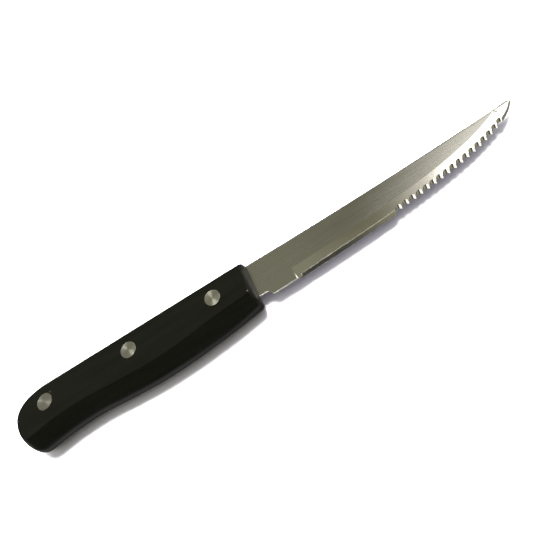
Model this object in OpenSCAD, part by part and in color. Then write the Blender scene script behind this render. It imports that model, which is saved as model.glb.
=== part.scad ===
// Steak knife with a scalloped edge and a riveted wooden handle.
// It lies on one flat side of the handle: +X points to the tip, +Y to the spine, +Z up.
// The origin is under the middle of the overall box, on the surface that the knife lies on.
// Before it is placed, every piece is drawn round the middle rivet: the rivet line is y = 0
// and half thickness is z = 0.

/* [Handle] */
// Length of the handle, from the butt to the front end
handle_len = 108.6; // [96:0.1:125]
// Thickness across the two flat sides
handle_thick = 13.6; // [11.5:0.1:18]
// Depth of the belly below the rivet line, at half thickness
belly_drop = 16.4; // [14.5:0.1:18]
// Height of the spine side above the rivet line, at half thickness
spine_rise = 9.1; // [8.9:0.1:12]
// How far the rounded belly stands out beyond the flat sides
belly_round = 6.8; // [4:0.1:7.2]
// How far the rounded spine side stands out beyond the flat sides
spine_round = 2.7; // [1:0.1:4]
// Angle through which the sides turn before they run straight up to the flat sides
side_turn = 55; // [52:1:65]
// How far the butt stands out beyond the flat sides
butt_round = 1.8; // [0.8:0.1:3]
// How far the front end stands out beyond the flat sides
front_round = 1.3; // [0.5:0.1:3]
// Length of the rounded butt
butt_len = 16.6; // [14:0.1:22]
// Drop of the rearmost point of the butt below the rivet line
butt_drop = 2.6; // [1:0.1:4]
// Drop over which the lower butt curve would close
butt_fall = 16.3; // [15.2:0.1:19]
// How far the front end leans back below its top corner
front_lean = 0.75; // [0:0.05:1.5]
// Rounding of the corners of the front end
front_corner = 1.7; // [0.8:0.1:2.2]
// Rounding of the lower corner of the butt
heel_corner = 2.2; // [1:0.1:3]

/* [Blade] */
// Length of the blade that shows, from the handle to the tip
blade_len = 128.7; // [115:0.1:150]
// Thickness of the steel
blade_thick = 1.3; // [1:0.05:1.8]
// Height of the spine above the rivet line at its lowest
blade_rise = 7.85; // [7:0.05:8.3]
// Further height that the spine gains up to the tip
tip_sweep = 1.9; // [0.5:0.1:4]
// Drop of the heel below the rivet line
heel_drop = 9.6; // [8.8:0.1:11]
// Drop of the neck below the rivet line, between the handle and the heel
neck_drop = 7.3; // [6.8:0.1:8]
// Length of the neck in front of the handle
neck_len = 3.65; // [2:0.05:5]
// Length of the slope from the neck down to the heel
heel_slope = 1.45; // [1:0.05:2.5]
// Length of the unground heel
heel_len = 11; // [8:0.1:15]
// Width of the broken edge along the spine, on the side of the blade
spine_ease = 0.45; // [0.2:0.05:0.8]
// Depth of the broken edge along the spine
spine_ease_depth = 0.16; // [0.05:0.01:0.3]
// Height of the blunt nose at the tip
nose_h = 0.6; // [0.4:0.1:1.2]

/* [Edge] */
// Length of the plain edge between the heel and the scallops
plain_len = 46.6; // [38:0.1:48]
// Height of the ground bevel along the plain edge
bevel_h = 1.6; // [1:0.1:2.2]
// Height of the ground bevel at the tip
tip_bevel_h = 0.7; // [0.5:0.1:1.2]
// Distance from the end of the heel to the start of the bevel
bevel_setback = 2.2; // [1:0.1:4]
// Height of the shallow grind above the edge
grind_h = 5.5; // [4:0.1:7]
// Depth of the shallow grind at the edge
grind_depth = 0.16; // [0.08:0.01:0.3]
// Length of the step where the shallow grind starts
plunge_len = 0.35; // [0.2:0.05:1]
// Number of scallops
scallop_count = 17; // [10:1:18]
// Distance between two teeth
scallop_pitch = 3.38; // [3:0.01:3.6]
// Radius of the wheel that grinds a scallop
scallop_r = 1.85; // [1.75:0.05:3]
// Height of the first scallop above the tooth points
scallop_h = 2.9; // [2.7:0.05:3.6]
// Height of the last scallop above the tooth points
last_scallop_h = 2.6; // [2.4:0.05:3.6]
// Angle between the wheel and the side of the blade
scallop_angle = 43; // [34:1:50]
// Angle by which the wheel leans towards the tip
scallop_lean = 6; // [0:1:20]

/* [Tang] */
// Width of the tang inside the handle
tang_w = 12; // [9:0.1:12.5]
// Length of the tang behind the butt rivet
tang_tail = 4.6; // [3.8:0.1:6]
// Length of the blade that enters the handle at its full height
seat_len = 4; // [2:0.1:8]
// Clearance round the tang in the handle
tang_gap = 0.05; // [0.02:0.01:0.1]

/* [Rivets] */
// Distance from the front rivet to the front end of the handle
rivet_setback = 16.2; // [13:0.1:20]
// Distance from the butt rivet to the butt
butt_setback = 14.8; // [13:0.1:18]
// Diameter of the rivet heads
head_d = 6.6; // [5.5:0.1:8]
// Thickness of the rivet heads
head_thick = 1.5; // [1:0.1:2]
// Outer diameter of the tubular shank
socket_d = 4.2; // [3.6:0.1:4.8]
// Diameter of the solid shank
stud_d = 2.6; // [2:0.1:3]
// Clearance round each head and shank
rivet_gap = 0.04; // [0.02:0.01:0.08]
// Gap left at the blind ends of a rivet
end_gap = 0.3; // [0.1:0.05:0.5]

/* [Hidden] */
$fn = 64;
// Overrun of every cut past the surface that it opens
overrun = 1;
half_thick = handle_thick / 2;
half_blade = blade_thick / 2;
rivet_pitch = (handle_len - rivet_setback - butt_setback) / 2;
front_x = rivet_pitch + rivet_setback;
butt_x = front_x - handle_len;
tip_x = front_x + blade_len;
tip_rise = blade_rise + tip_sweep;
heel_x = front_x + neck_len + heel_slope;
edge_x = heel_x + heel_len;
seat_x = front_x - seat_len;
tang_x = -rivet_pitch - tang_tail;

// Depth of the belly from the front end to the heel, as shares of belly_drop
belly_shares = [0.745, 0.861, 0.939, 0.987, 0.992, 0.942, 0.885, 0.911, 1.008];
// How far the belly stands out at the same places, as shares of belly_round
swell_shares = [0.874, 1.035, 1.036, 0.982, 0.996, 0.983, 0.96, 0.968, 0.941];
// Reach of the lower butt curve on the flat sides, as a share of butt_fall
flat_fall_share = 0.765;
// Setback of the flat sides at the top and the bottom of the front end, as shares of front_round
front_top_share = 0.75;
front_low_share = 1.2;
// Rounding of the front corners on the flat sides, as a share of front_corner
flat_corner_share = 0.35;
// Power of the butt's curve: 2 is an ellipse, and more is squarer
butt_power = 2.3;
belly_steps = 44;
corner_steps = 5;
butt_steps = 16;
straight_steps = 8;
side_steps = 14;

// Start of the curve from the heel's slope into the neck, and its end, as shares of heel_slope
slope_curve_share = 0.5;
neck_curve_share = 0.8;
// How far the nose leans back to the spine, as a share of its height
nose_lean_share = 1;
// Reach of the edge curve's two handles, as shares of the length and height of the edge
heel_reach_share = 0.714;
heel_lift_share = 0.045;
tip_reach_share = 0.058;
tip_lift_share = 0.47;
// Place along the blade where the spine is lowest, as a share of blade_len
spine_low_share = 0.256;
// Height of the bevel where it starts, as a share of bevel_h, and the share of the edge it rises over
bevel_start_share = 0.75;
bevel_rise_share = 0.06;
edge_steps = 48;
spine_steps = 28;
slope_steps = 6;

function mix(a, b, share) = a + (b - a) * share;
function unit(v) = v / norm(v);
function left_of(v) = [-v.y, v.x];
function curve3(a, b, c, t) = mix(mix(a, b, t), mix(b, c, t), t);
function curve4(a, b, c, d, t) = mix(curve3(a, b, c, t), curve3(b, c, d, t), t);

// Value of an evenly spaced list at a place from 0 to 1, on a smooth curve through its values
function smooth_at(list, place) =
    let (last = len(list) - 1, i = min(floor(place * last), last - 1), t = place * last - i)
    let (b = list[i], c = list[i + 1])
    let (a = i > 0 ? list[i - 1] : 2 * b - c, d = i < last - 1 ? list[i + 2] : 2 * c - b)
    b + t * (c - a + t * (2 * a - 5 * b + 4 * c - d + t * (3 * b - a - 3 * c + d))) / 2;

// A quarter of the butt's curve, at an angle from its rearmost point
function butt_curve(angle, reach, rise) =
    [-reach * pow(cos(angle), 2 / butt_power), rise * pow(sin(angle), 2 / butt_power)];

// Outline of the handle, clockwise seen from above, from the lower front corner.
// inset is 0 at half thickness and 1 on a flat side.
function handle_ring(inset) =
    let (
        top = spine_rise - inset * spine_round,
        high = [front_x - inset * front_round * front_top_share, top],
        low = [
            front_x - front_lean - inset * front_round * front_low_share,
            inset * belly_round * swell_shares[0] - belly_drop * belly_shares[0]
        ],
        last = len(belly_shares) - 1,
        heel_y = inset * belly_round * swell_shares[last] - belly_drop * belly_shares[last],
        fall = butt_fall * mix(1, flat_fall_share, inset),
        reach = butt_len - inset * butt_round,
        centre = [butt_x + butt_len, -butt_drop],
        heel_angle = asin(pow((-butt_drop - heel_y) / fall, butt_power / 2)),
        heel = centre + butt_curve(heel_angle, reach, 0) + [0, heel_y + butt_drop],
        cut_angle = heel_angle * (1 - heel_corner / fall),
        belly_len = low.x - heel.x,
        corner = front_corner * mix(1, flat_corner_share, inset),
        belly = [
            for (i = [0:belly_steps])
                let (s = mix(corner / belly_len, 1 - heel_corner / belly_len, i / belly_steps))
                [
                    low.x - belly_len * s,
                    inset * belly_round * smooth_at(swell_shares, s) - belly_drop * smooth_at(belly_shares, s)
                ]
        ],
        butt = concat(
            [for (i = [butt_steps:-1:1]) centre + butt_curve(cut_angle * i / butt_steps, reach, -fall)],
            [for (i = [0:butt_steps]) centre + butt_curve(90 * i / butt_steps, reach, top + butt_drop)]
        ),
        front_down = unit(low - high),
        high_rear = high - [corner, 0],
        high_front = high + corner * front_down,
        low_front = low - corner * front_down
    )
    concat(
        belly,
        [for (i = [1:corner_steps - 1]) curve3(belly[belly_steps], heel, butt[0], i / corner_steps)],
        butt,
        [for (i = [1:straight_steps - 1]) mix(butt[2 * butt_steps], high_rear, i / straight_steps)],
        [for (i = [0:corner_steps]) curve3(high_rear, high, high_front, i / corner_steps)],
        [for (i = [1:straight_steps - 1]) mix(high_front, low_front, i / straight_steps)],
        [for (i = [0:corner_steps - 1]) curve3(low_front, low, belly[0], i / corner_steps)]
    );

// Share of a swell that is left at a height above half thickness. The side is an arc from half
// thickness up to side_turn at most, and from there a straight slope up to the flat side.
function swell_left(swell, height) =
    let (turn = min(side_turn, 2 * atan(swell / half_thick)))
    let (arc_r = (half_thick * sin(turn) - swell * cos(turn)) / (1 - cos(turn)))
    height <= 0 ? 1
    : height >= half_thick ? 0
    : height < arc_r * sin(turn) ? 1 - arc_r * (1 - sqrt(1 - pow(height / arc_r, 2))) / swell
    : (half_thick - height) * tan(turn) / swell;

middle_ring = handle_ring(0);
flat_ring = handle_ring(1);
ring_count = len(middle_ring);
box_x = (tip_x + butt_x) / 2;
box_y = (max(tip_rise, spine_rise) + min([for (p = middle_ring) p.y])) / 2;

// Height of the spine above the rivet line
function spine_y(x) =
    let (low_x = front_x + blade_len * spine_low_share)
    blade_rise + tip_sweep * pow((x - low_x) / (tip_x - low_x), 2);

// Line of the tooth points and the plain edge, from the end of the heel to the nose
edge_start = [edge_x, -heel_drop];
edge_end = [tip_x, tip_rise - nose_h];
edge_span = edge_end - edge_start;
edge_grips = [
    edge_start,
    edge_start + [edge_span.x * heel_reach_share, edge_span.y * heel_lift_share],
    edge_end - [edge_span.x * tip_reach_share, edge_span.y * tip_lift_share],
    edge_end
];
function edge_at(t) = curve4(edge_grips[0], edge_grips[1], edge_grips[2], edge_grips[3], t);
function edge_pull(t) = 3 * curve3(
    edge_grips[1] - edge_grips[0], edge_grips[2] - edge_grips[1], edge_grips[3] - edge_grips[2], t);
function edge_dir(t) = unit(edge_pull(t));
// Value of t at a distance in front of the end of the heel, in a few steps from a first guess
function edge_t(distance, t = 0.5, tries = 8) =
    tries == 0 ? t : edge_t(distance, t - (edge_at(t).x - edge_x - distance) / edge_pull(t).x, tries - 1);
// Value of t past the nose, where the cutters end
edge_end_t = 1 + (nose_h + overrun) / norm(edge_pull(1));

module placed() {
    translate([-box_x, -box_y, half_thick]) children();
}

module at_rivets() {
    for (x = [-rivet_pitch, 0, rivet_pitch]) translate([x, 0, 0]) children();
}

// Joins equal sections, each a list of points, into one closed solid
module skin(sections) {
    n = len(sections[0]);
    last = len(sections) - 1;
    sides = [
        for (k = [0:last - 1]) for (i = [0:n - 1]) for (upper = [false, true])
            let (a = k * n + i, b = k * n + (i + 1) % n)
            upper ? [a, b + n, a + n] : [a, b, b + n]
    ];
    near_end = [for (i = [n - 1:-1:0]) i];
    far_end = [for (i = [0:n - 1]) last * n + i];
    polyhedron([for (s = sections) each s], concat([near_end], sides, [far_end]), convexity = 6);
}

// Half of the handle's outer form, above half thickness
module half_handle() {
    levels = concat(
        [-overrun],
        [for (k = [0:side_steps]) half_thick * k / side_steps],
        [half_thick + overrun]
    );
    sections = [
        for (z = levels) [
            for (i = [0:ring_count - 1])
                let (flat = flat_ring[i], middle = middle_ring[i])
                let (p = mix(flat, middle, swell_left(norm(middle - flat), z)))
                [p.x, p.y, z]
        ]
    ];
    intersection() {
        skin(sections);
        translate([butt_x - overrun, -belly_drop - 2 * overrun, 0])
            cube([handle_len + 2 * overrun, belly_drop + spine_rise + 4 * overrun, half_thick]);
    }
}

// Plan of the tang, grown by a clearance
module tang_plan(gap) {
    square_x = tang_x + tang_w / 2;
    translate([square_x, -tang_w / 2 - gap]) square([seat_x + overrun - square_x, tang_w + 2 * gap]);
    translate([square_x, 0]) circle(d = tang_w + 2 * gap);
}

// Room for the tang and for the seat of the blade, down to half thickness
module tang_recess() {
    translate([0, 0, -overrun]) linear_extrude(half_blade + tang_gap + overrun) {
        tang_plan(tang_gap);
        translate([seat_x - tang_gap, -neck_drop - tang_gap])
            square([seat_len + overrun, neck_drop + spine_y(seat_x) + 2 * tang_gap]);
    }
}

module scale_half() {
    color([0.1, 0.1, 0.09]) difference() {
        half_handle();
        tang_recess();
        at_rivets() {
            cylinder(d = socket_d + 2 * rivet_gap, h = handle_thick);
            translate([0, 0, half_thick - head_thick])
                cylinder(d = head_d + 2 * rivet_gap, h = head_thick + overrun);
        }
    }
}

module upper_scale() {
    placed() scale_half();
}

module lower_scale() {
    placed() mirror([0, 0, 1]) scale_half();
}

// Outline of the blade in front of its seat, down to the tooth points
module blade_plan() {
    heel = [heel_x, -heel_drop];
    corner = [heel_x - heel_slope, -neck_drop];
    slope_mid = mix(heel, corner, slope_curve_share);
    neck_mid = corner - [heel_slope * neck_curve_share, 0];
    spine_end = tip_x - nose_h * nose_lean_share;
    polygon(concat(
        [for (i = [0:spine_steps]) let (x = mix(seat_x, spine_end, i / spine_steps)) [x, spine_y(x)]],
        [for (i = [0:edge_steps]) edge_at(1 - i / edge_steps)],
        [heel],
        [for (i = [0:slope_steps]) curve3(slope_mid, corner, neck_mid, i / slope_steps)],
        [[seat_x, -neck_drop]]
    ));
}

// Section of a cutter at t: a blade-side face through two points, given by their reach inwards
// from the edge and their height, and open above and outside
function cut_section(t, near_reach, near_height, far_reach, far_height) =
    let (inward = left_of(edge_dir(t)))
    let (near = edge_at(t) + inward * near_reach, far = edge_at(t) + inward * far_reach)
    [
        [near.x, near.y, near_height],
        [near.x, near.y, half_blade + overrun],
        [far.x, far.y, half_blade + overrun],
        [far.x, far.y, far_height]
    ];

// Height on the line from half_blade at a reach to half_blade less a depth at the edge
function slope_height(reach, depth, at) = half_blade - depth * (1 - at / reach);

// Shallow grind on one side, from the step at the end of the heel to the tip
module shallow_grind() {
    far = grind_h + overrun;
    starts = [edge_t(-plunge_len), edge_t(plunge_len)];
    skin(concat(
        [cut_section(starts[0], -overrun, half_blade + grind_depth, far, half_blade + grind_depth)],
        [
            for (i = [0:edge_steps])
                cut_section(
                    mix(starts[1], edge_end_t, i / edge_steps),
                    -overrun, slope_height(grind_h, grind_depth, -overrun),
                    far, slope_height(grind_h, grind_depth, far))
        ]
    ));
}

// Ground bevel, from the upper side down to the edge on the lower side
module edge_bevel() {
    start = edge_t(bevel_setback);
    skin([
        for (i = [0:edge_steps])
            let (s = i / edge_steps, reach = mix(bevel_h, tip_bevel_h, s * s))
            let (rise = mix(bevel_start_share, 1, min(1, s / bevel_rise_share)) * reach)
            cut_section(
                mix(start, edge_end_t, s),
                -overrun, slope_height(rise, blade_thick, -overrun),
                rise + overrun, slope_height(rise, blade_thick, rise + overrun))
    ]);
}

// Row of scallops ground obliquely from the upper side. The wheel's lean leaves the tooth points
// where they are and moves the tops of the scallops towards the tip.
module scallops() {
    wheel_len = 4 * (blade_thick + scallop_r);
    for (i = [0:scallop_count - 1]) {
        p = edge_at(edge_t(plain_len + (i + 0.5) * scallop_pitch));
        height = mix(scallop_h, last_scallop_h, i / (scallop_count - 1));
        translate([p.x + blade_thick * tan(scallop_lean), p.y + height, half_blade])
            rotate([0, scallop_lean, 0]) rotate([scallop_angle - 90, 0, 0])
                translate([0, -scallop_r, 0])
                    cylinder(r = scallop_r, h = wheel_len, center = true);
    }
}

// Broken edge along the upper side of the spine
module spine_break() {
    out = half_blade + overrun;
    low = slope_height(spine_ease, spine_ease_depth, -overrun);
    high = slope_height(spine_ease, spine_ease_depth, spine_ease + overrun);
    skin([
        for (i = [0:spine_steps])
            let (x = mix(seat_x - overrun, tip_x + overrun, i / spine_steps), y = spine_y(x))
            let (far_y = y - spine_ease - overrun)
            [[x, far_y, high], [x, far_y, out], [x, y + overrun, out], [x, y + overrun, low]]
    ]);
}

module blade() {
    color([0.64, 0.63, 0.58]) placed() difference() {
        translate([0, 0, -half_blade]) {
            linear_extrude(blade_thick) blade_plan();
            linear_extrude(blade_thick) tang_plan(0);
        }
        shallow_grind();
        edge_bevel();
        scallops();
        spine_break();
        mirror([0, 0, 1]) spine_break();
        at_rivets() cylinder(d = socket_d + 2 * rivet_gap, h = handle_thick, center = true);
    }
}

// Tubular half of a rivet, with its head flush with the upper flat side
module rivet_socket(place) {
    shank_len = handle_thick - 2 * head_thick - end_gap;
    color([0.72, 0.71, 0.66]) placed() translate([place * rivet_pitch, 0, half_thick]) mirror([0, 0, 1]) {
        cylinder(d = head_d, h = head_thick);
        translate([0, 0, head_thick]) difference() {
            cylinder(d = socket_d, h = shank_len);
            cylinder(d = stud_d + 2 * rivet_gap, h = shank_len + overrun);
        }
    }
}

// Solid half of a rivet, with its head flush with the lower flat side
module rivet_stud(place) {
    shank_len = handle_thick - 2 * head_thick - end_gap;
    color([0.72, 0.71, 0.66]) placed() translate([place * rivet_pitch, 0, -half_thick]) {
        cylinder(d = head_d, h = head_thick);
        translate([0, 0, head_thick]) cylinder(d = stud_d, h = shank_len);
    }
}

module butt_rivet_socket() { rivet_socket(-1); }
module butt_rivet_stud() { rivet_stud(-1); }
module middle_rivet_socket() { rivet_socket(0); }
module middle_rivet_stud() { rivet_stud(0); }
module front_rivet_socket() { rivet_socket(1); }
module front_rivet_stud() { rivet_stud(1); }

blade();
upper_scale();
lower_scale();
butt_rivet_socket();
butt_rivet_stud();
middle_rivet_socket();
middle_rivet_stud();
front_rivet_socket();
front_rivet_stud();
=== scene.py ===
import math

import bpy
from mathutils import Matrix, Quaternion, Vector

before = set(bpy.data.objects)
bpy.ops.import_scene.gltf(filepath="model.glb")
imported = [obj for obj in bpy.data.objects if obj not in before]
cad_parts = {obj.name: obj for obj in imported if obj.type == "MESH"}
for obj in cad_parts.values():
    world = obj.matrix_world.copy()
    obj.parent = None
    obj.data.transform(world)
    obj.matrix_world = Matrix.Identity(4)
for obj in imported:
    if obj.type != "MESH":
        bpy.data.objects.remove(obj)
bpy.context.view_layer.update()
mm = 0.001


# Blade and tang: one blank of stainless strip, ground thinner on both sides of the edge and
# scalloped with a round wheel from the upper side. Brush lines run along its flat faces, and the
# ground faces are smoother and carry a lighter tone, a painted reflection. Polishing rounds its
# edges, but the scallops and the point stay sharp.
blade_edge_round = 0.3 * mm
blade_edge_fold = math.radians(15)
fine_round_from = 5 * mm
fine_round_share = 0.36
scallops_from = 52 * mm
spine_from = 10.5 * mm
sharp_point_from = 116.5 * mm
# The ground faces' lighter steel tone is a painted reflection.
ground_painted_reflection_tone = (0.8, 0.78, 0.7, 1)
blade_tone = (0.61, 0.6, 0.54, 1)
blade_dull_tone = (0.57, 0.56, 0.5, 1)
brush_line_stretch = (9, 2600, 2600)
brush_line_depth = 0.0015 * mm
smudge_stretch = (35, 110, 110)
face_least_roughness = 0.22
face_most_roughness = 0.3
ground_least_roughness = 0.09
ground_most_roughness = 0.17
flat_face_tilt = math.radians(0.6)
ground_face_tilt = math.radians(1.3)
noise_range = (0.3, 0.7)
worn_range = (0.12, 0.4)
grind_line_fold = math.radians(1)
flat_face_upward = 0.999
same_point_within = 0.001 * mm
same_plane_within = math.radians(0.02)
edge_round_steps = 2
large_face_weight = 80


def feed(tree, node, inputs):
    """Sets each input of a node to a value, or links it to another node's output."""
    for name, value in inputs.items():
        if isinstance(value, bpy.types.NodeSocket):
            tree.links.new(value, node.inputs[name])
        else:
            node.inputs[name].default_value = value


def smooth_surfaces(piece, edge_round, edge_fold, fine_from=1, sharp_from=1, spine=0, point=1):
    """Joins a CAD piece's facets into smooth surfaces, keeps the crisp line where a shallow grind
    meets a flat face, and rounds the edges that fold more than edge_fold. Those short of spine in
    y are rounded less from fine_from on in x, and not at all from sharp_from on. Those past spine
    are rounded as far as point."""
    tree = bpy.data.node_groups.new(piece.name + "_surfaces", "GeometryNodeTree")
    for in_out in ("INPUT", "OUTPUT"):
        tree.interface.new_socket("Geometry", in_out=in_out, socket_type="NodeSocketGeometry")

    def step(kind, inputs, **settings):
        node = tree.nodes.new(kind)
        for name, value in settings.items():
            setattr(node, name, value)
        feed(tree, node, inputs)
        return node.outputs[0]

    def over(value, least):
        return step("FunctionNodeCompare", {"A": value, "B": least})

    def logic(operation, first, second):
        return step("FunctionNodeBooleanMath", {0: first, 1: second}, operation=operation)

    fold = tree.nodes.new("GeometryNodeInputMeshEdgeAngle").outputs["Unsigned Angle"]
    normal = step("ShaderNodeSeparateXYZ", {0: step("GeometryNodeInputNormal", {})}).node.outputs
    place = step("ShaderNodeSeparateXYZ", {0: step("GeometryNodeInputPosition", {})}).node.outputs
    grind_line = logic("AND", over(fold, grind_line_fold), over(normal["Z"], flat_face_upward))
    corner = over(fold, edge_fold)
    on_spine = logic("AND", over(place["Y"], spine), over(point, place["X"]))
    rounded = logic("AND", corner, logic("OR", on_spine, over(sharp_from, place["X"])))
    sharp = logic("OR", grind_line, logic("NIMPLY", corner, rounded))
    wide = logic("OR", on_spine, over(fine_from, place["X"]))
    share = step("ShaderNodeMapRange", {"Value": wide, "To Min": fine_round_share, "To Max": 1})
    share = step("ShaderNodeMath", {0: share, 1: rounded}, operation="MULTIPLY")
    shape = step("NodeGroupInput", {})
    shape = step("GeometryNodeMergeByDistance", {0: shape, "Distance": same_point_within})
    shape = step("GeometryNodeRemoveAttribute", {0: shape, "Name": "custom_normal"})
    shape = step("GeometryNodeSetShadeSmooth", {0: shape})
    shape = step("GeometryNodeSetShadeSmooth", {0: shape}, domain="EDGE")
    shape = step("GeometryNodeSetShadeSmooth", {
        0: shape, "Selection": sharp, "Shade Smooth": False}, domain="EDGE")
    shape = step("GeometryNodeStoreNamedAttribute", {
        0: shape, "Name": "bevel_weight_edge", "Value": share}, domain="EDGE")
    feed(tree, tree.nodes.new("NodeGroupOutput"), {0: shape})
    piece.modifiers.new("surfaces", "NODES").node_group = tree
    flats = piece.modifiers.new("flats", "DECIMATE")
    flats.decimate_type = "DISSOLVE"
    flats.angle_limit = same_plane_within
    edges = piece.modifiers.new("edges", "BEVEL")
    edges.width = edge_round
    edges.segments = edge_round_steps
    edges.limit_method = "WEIGHT"
    edges.use_clamp_overlap = False
    shading = piece.modifiers.new("shading", "WEIGHTED_NORMAL")
    shading.keep_sharp = True
    shading.weight = large_face_weight


def add(tree, kind, inputs, **settings):
    """Adds a node of one kind with its settings and inputs, and returns its first output."""
    node = tree.nodes.new("ShaderNode" + kind)
    for name, value in settings.items():
        setattr(node, name, value)
    feed(tree, node, inputs)
    return node.outputs[0]


def spread(tree, value, low, high, least, most):
    """Spreads a value from low to high over a range from least to most."""
    return add(tree, "MapRange", {
        "Value": value, "From Min": low, "From Max": high, "To Min": least, "To Max": most})


def blend(tree, share, first, second):
    """Mixes two colours by a share."""
    return add(tree, "MixRGB", {"Fac": share, "Color1": first, "Color2": second})


def place_on(tree, stretch):
    """Places on the piece, counted from the origin of the knife and stretched."""
    here = tree.nodes.new("ShaderNodeTexCoord").outputs["Object"]
    return add(tree, "Mapping", {"Vector": here, "Scale": stretch})


def noise_on(tree, stretch, detail, scale=1):
    """Soft noise over the piece, with as many finer layers as detail says."""
    return add(tree, "TexNoise", {
        "Vector": place_on(tree, stretch), "Scale": scale, "Detail": detail})


def new_finish(name):
    """Starts a finish and returns it with its node tree and its shader."""
    finish = bpy.data.materials.new(name)
    finish.use_nodes = True
    return finish, finish.node_tree, finish.node_tree.nodes["Principled BSDF"]


def blade_finish():
    """Steel with fine lines along its flat faces, and smoother where it is ground, where a lighter
    tone is also painted on as a painted reflection.
    """
    finish, tree, shader = new_finish("brushed_blade_steel")
    lines = noise_on(tree, brush_line_stretch, 3)
    smudges = noise_on(tree, smudge_stretch, 4)
    face = tree.nodes.new("ShaderNodeNewGeometry").outputs["True Normal"]
    tilt = add(tree, "SeparateXYZ", {0: face})
    upward = add(tree, "Math", {0: tilt.node.outputs["Z"]}, operation="ABSOLUTE")
    ground = spread(tree, upward, math.cos(flat_face_tilt), math.cos(ground_face_tilt), 0, 1)
    worn = add(tree, "Math", {0: lines, 1: smudges}, operation="MULTIPLY")
    brushed = spread(tree, worn, *worn_range, face_least_roughness, face_most_roughness)
    polished = spread(tree, worn, *worn_range, ground_least_roughness, ground_most_roughness)
    roughness = add(tree, "Mix", {0: ground, 2: brushed, 3: polished})
    brushed_tone = blend(tree, spread(tree, lines, *noise_range, 0, 1), blade_dull_tone, blade_tone)
    relief = add(tree, "Bump", {"Height": lines, "Distance": brush_line_depth, "Strength": 1})
    # The ground faces get the lighter tone: a painted reflection.
    feed(tree, shader, {
        "Base Color": blend(tree, ground, brushed_tone, ground_painted_reflection_tone),
        "Metallic": 1, "Roughness": roughness, "Normal": relief})
    return finish


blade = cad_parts["blade"]
blade.material_slots[0].material = blade_finish()
smooth_surfaces(blade, blade_edge_round, blade_edge_fold, fine_round_from, scallops_from,
                spine_from, sharp_point_from)


# Upper and lower scale: two slabs of dark stained wood with a low oil sheen, milled to the tang,
# drilled for the rivets and then shaped together. The flat sides meet the belly in a crisp crease.
scale_edge_round = 0.2 * mm
scale_edge_fold = math.radians(22)
wood_tone = (0.0028, 0.0028, 0.0018, 1)
wood_dark_tone = (0.0017, 0.0017, 0.001, 1)
speck_tone = (0.16, 0.15, 0.135, 1)
grain_stretch = (45, 620, 620)
pore_stretch = (220, 3800, 3800)
specks_per_metre = 140
speck_size_share = 0.045
wood_least_roughness = 0.29
wood_most_roughness = 0.35
wood_gloss = 0.29
pore_depth = 0.02 * mm
pore_strength = 0.5


def scale_finish():
    """Dark wood with grain and pores along the handle, and a few pale specks of dust."""
    finish, tree, shader = new_finish("dark_stained_wood")
    grain = noise_on(tree, grain_stretch, 5)
    pores = noise_on(tree, pore_stretch, 2)
    specks = add(tree, "TexVoronoi", {
        "Vector": place_on(tree, (1, 1, 1)), "Scale": specks_per_metre})
    stained = blend(tree, spread(tree, grain, *noise_range, 0, 1), wood_dark_tone, wood_tone)
    speckled = blend(tree, spread(tree, specks, speck_size_share, 0, 0, 1), stained, speck_tone)
    relief = add(tree, "Bump", {"Height": pores, "Distance": pore_depth, "Strength": pore_strength})
    feed(tree, shader, {
        "Base Color": speckled, "Specular IOR Level": wood_gloss, "Normal": relief,
        "Roughness": spread(tree, grain, *noise_range, wood_least_roughness, wood_most_roughness)})
    return finish


wood = scale_finish()
scale_pieces = []
for name in ("upper_scale", "lower_scale"):
    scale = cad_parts[name]
    scale.material_slots[0].material = wood
    smooth_surfaces(scale, scale_edge_round, scale_edge_fold)
    scale_pieces.append(scale)


# Three rivets: each is a socket from above and a stud from below, turned from steel bar and pressed
# together through the tang. Their flat heads keep the fine rings of the turning tool.
rivet_edge_round = 0.1 * mm
rivet_edge_fold = math.radians(30)
rivet_tone = (0.58, 0.57, 0.48, 1)
rivet_least_roughness = 0.28
rivet_most_roughness = 0.32
rivet_turning_stretch = 0.8
quarter_turn = 0.25
rivet_ring_count = 13
rivet_ring_depth = 0.004 * mm
rivet_smudges_per_metre = 700


def rivet_finish():
    """Steel with rings round the rivet's axis, which stretch each reflection along the radius."""
    finish, tree, shader = new_finish("turned_rivet_steel")
    box_place = tree.nodes.new("ShaderNodeTexCoord").outputs["Generated"]
    box_half = 0.5
    from_axis = add(tree, "Mapping", {
        "Vector": box_place, "Location": (-box_half, -box_half, 0), "Scale": (1, 1, 0)})
    radius = add(tree, "VectorMath", {0: from_axis}, operation="LENGTH").node.outputs["Value"]
    half_ring = box_half / rivet_ring_count / 2
    rings = add(tree, "Math", {0: radius, 1: half_ring}, operation="PINGPONG")
    relief = add(tree, "Bump", {"Height": rings, "Distance": rivet_ring_depth, "Strength": 1})
    smudges = noise_on(tree, (1, 1, 1), 2, rivet_smudges_per_metre)
    feed(tree, shader, {
        "Base Color": rivet_tone, "Metallic": 1, "Anisotropic": rivet_turning_stretch,
        "Anisotropic Rotation": quarter_turn,
        "Roughness": spread(
            tree, smudges, *noise_range, rivet_least_roughness, rivet_most_roughness),
        "Tangent": add(tree, "Tangent", {}, direction_type="RADIAL", axis="Z"),
        "Normal": relief})
    return finish


turned_steel = rivet_finish()
rivet_pieces = []
for rivet in ("butt_rivet", "middle_rivet", "front_rivet"):
    for half in ("socket", "stud"):
        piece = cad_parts[rivet + "_" + half]
        piece.material_slots[0].material = turned_steel
        smooth_surfaces(piece, rivet_edge_round, rivet_edge_fold)
        rivet_pieces.append(piece)


# The table: a plain matt white sheet under the knife, wide enough to fill the picture, with an
# upright ring of the same sheet round it that only the camera sees, as a plain background.
table_half = 1.5
table_corners = ((-1, -1), (1, -1), (1, 1), (-1, 1))
table_tone = (0.86, 0.85, 0.88, 1)
table_roughness = 0.9
backdrop_radius = 1.45
backdrop_height = 1.6
backdrop_side_count = 72

matt_white, _, matt_shader = new_finish("matt_white")
matt_shader.inputs["Base Color"].default_value = table_tone
matt_shader.inputs["Roughness"].default_value = table_roughness


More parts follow.
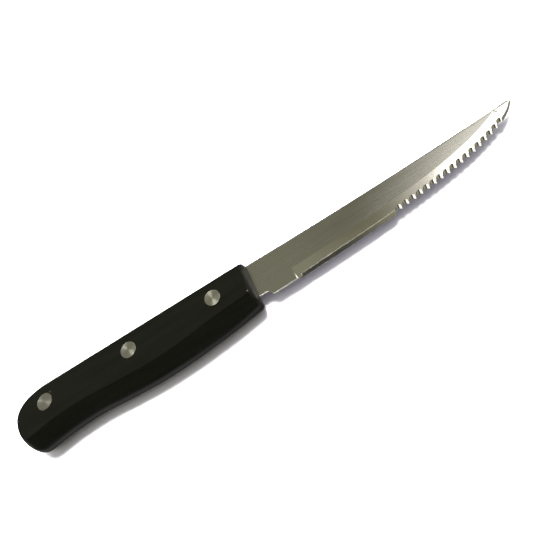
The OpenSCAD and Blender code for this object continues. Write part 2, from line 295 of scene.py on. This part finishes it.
def set_stage(name, points, faces):
    """Makes a matt white piece of the surroundings, which the steel doesn't see."""
    sheet = bpy.data.meshes.new(name)
    sheet.from_pydata(points, [], faces)
    sheet.materials.append(matt_white)
    piece = bpy.data.objects.new(name, sheet)
    piece.visible_glossy = False
    bpy.context.collection.objects.link(piece)
    return piece


set_stage("table", [(x * table_half, y * table_half, 0) for x, y in table_corners], [(0, 1, 2, 3)])
ring_points = []
ring_faces = []
for number in range(backdrop_side_count):
    turn = 2 * math.pi * number / backdrop_side_count
    x, y = backdrop_radius * math.cos(turn), backdrop_radius * math.sin(turn)
    ring_points += [(x, y, 0), (x, y, backdrop_height)]
    corner = 2 * number
    after = 2 * ((number + 1) % backdrop_side_count)
    ring_faces.append((corner, after, after + 1, corner + 1))
backdrop = set_stage("backdrop", ring_points, ring_faces)
backdrop.visible_diffuse = False
backdrop.visible_shadow = False


# Studio light: a lamp overhead makes the soft shadow, and a wide ceiling panel and a low one behind
# fill it. Glossy faces see other panels instead, most of them set up for one kind of piece: they
# draw the lines on the blade's edges, the streaks on the rivets and the white band at the point.
knife_origin = (0, 0, 0)
white = (1, 1, 1)


def panel(name, place, size, light, aim=knife_origin, turn=0, tint=white, on_matt=False, only=()):
    """Adds a flat panel that faces its aim, turned by so many degrees. It lights either matt
    surfaces or glossy ones, and can be kept off all but some pieces."""
    shine = bpy.data.objects.new(name, bpy.data.lights.new(name, "AREA"))
    shine.data.shape = "RECTANGLE"
    shine.data.size, shine.data.size_y = size
    shine.data.energy = light * math.pi * size[0] * size[1]
    shine.data.color = tint
    shine.location = place
    facing = (Vector(aim) - Vector(place)).to_track_quat("-Z", "Y")
    shine.rotation_euler = (facing @ Quaternion((0, 0, 1), math.radians(turn))).to_euler()
    shine.visible_diffuse = on_matt
    shine.visible_glossy = not on_matt
    shine.visible_camera = False
    bpy.context.collection.objects.link(shine)
    if only:
        shine.light_linking.receiver_collection = bpy.data.collections.new("lit_by_" + name)
        for piece in only:
            shine.light_linking.receiver_collection.objects.link(piece)


panel("lamp", place=(0.14, 0.31, 1.0), size=(0.35, 0.4), light=80.0, on_matt=True)
panel("ceiling", place=(0.1, 0.15, 1.0), size=(1.6, 1.6), light=1.2, aim=(0.1, 0, 0), on_matt=True)
panel("low_back_panel", place=(0.1, 1.2, 0.2), size=(2.4, 0.3), light=5.0, aim=(0.05, 0, 0),
      tint=(0.5, 0.5, 1), on_matt=True)
panel("rivet_lamp", place=(-0.2, 0.0, 1.0), size=(0.4, 0.3), light=5.8, only=rivet_pieces)
panel("edge_strip", place=(0.0, -0.25, 1.0), size=(1.4, 0.12), light=5.0, only=(blade,))
panel("table_sheen", place=(0, -0.27, 0.001), size=(1.2, 0.5), light=0.8, aim=(0, -0.27, 1),
      only=scale_pieces)
panel("edge_panel", place=(-0.2, -1.0, 0.14), size=(0.4, 0.26), light=5.0, only=(blade,))
panel("point_panel", place=(0.723, 0.137, 0.6), size=(0.7, 0.55), light=2.4,
      aim=(0.723, 0.137, 0), turn=18.6)
panel("tooth_panel", place=(-0.62, -0.47, 0.35), size=(0.9, 0.55), light=1.7, aim=(0.08, 0, 0),
      only=(blade,))

# The room as the steel sees it: parts of the sky, each with its direction, the angles in degrees
# from there within which it is full and at which it ends, and its light. Later parts lie on top.
room_light = (0.27, 0.26, 0.24, 1)
room_parts = {
    "ceiling": ((0.0, 0.6, 0.8), 12, 50, (0.25, 0.25, 0.19, 1)),
    "ceiling_dark": ((0.15, 0.51, 0.85), 3, 11, (0.15, 0.14, 0.095, 1)),
    "point_glow": ((0.48, 0.3, 0.78), 10, 19, (0.75, 0.72, 0.68, 1)),
    "front_glow": ((0.4, -0.7, 0.6), 10, 40, (0.34, 0.33, 0.24, 1)),
    "dark_front": ((-0.4, -0.8, 0.45), 30, 46, (0.05, 0.05, 0.042, 1)),
    "table_seen": ((0.0, 0.0, -1.0), 84, 92, (0.24, 0.23, 0.21, 1)),
    "far_dark": ((0.3, 1.0, 0.1), 15, 45, (0.03, 0.03, 0.03, 1)),
}
room = bpy.data.worlds.new("room")
room.use_nodes = True
room_tree = room.node_tree
seen = room_tree.nodes.new("ShaderNodeTexCoord").outputs["Generated"]
sky = room_light
for direction, full, end, part_light in room_parts.values():
    toward = add(room_tree, "VectorMath", {0: seen, 1: Vector(direction).normalized()},
                 operation="DOT_PRODUCT").node.outputs["Value"]
    share = add(room_tree, "MapRange", {
        "Value": toward, "From Min": math.cos(math.radians(end)),
        "From Max": math.cos(math.radians(full))}, interpolation_type="SMOOTHSTEP")
    sky = blend(room_tree, share, sky, part_light)
feed(room_tree, room_tree.nodes["Background"], {"Color": sky})
bpy.context.scene.world = room
bpy.context.scene.view_settings.view_transform = "Standard"


# Camera: above the handle's lower right, rolled so that the knife rises to the upper right.
camera_place = Vector((14.35, -82.31, 157.5)) * mm
camera_aim = Vector((12.52, 2.36, 6.8)) * mm
camera_roll = math.radians(-32.87)
picture_pixels = 540
focal_pixels = 430
centre_pixel = (302.2, 254.1)
nearest_seen = 10 * mm

camera = bpy.data.objects.new("camera", bpy.data.cameras.new("camera"))
camera.data.lens = camera.data.sensor_width * focal_pixels / picture_pixels
camera.data.shift_x = (picture_pixels / 2 - centre_pixel[0]) / picture_pixels
camera.data.shift_y = (centre_pixel[1] - picture_pixels / 2) / picture_pixels
camera.data.clip_start = nearest_seen
camera.location = camera_place
level = (camera_aim - camera_place).to_track_quat("-Z", "Y")
camera.rotation_euler = (level @ Quaternion((0, 0, 1), camera_roll)).to_euler()
bpy.context.collection.objects.link(camera)
bpy.context.scene.camera = camera
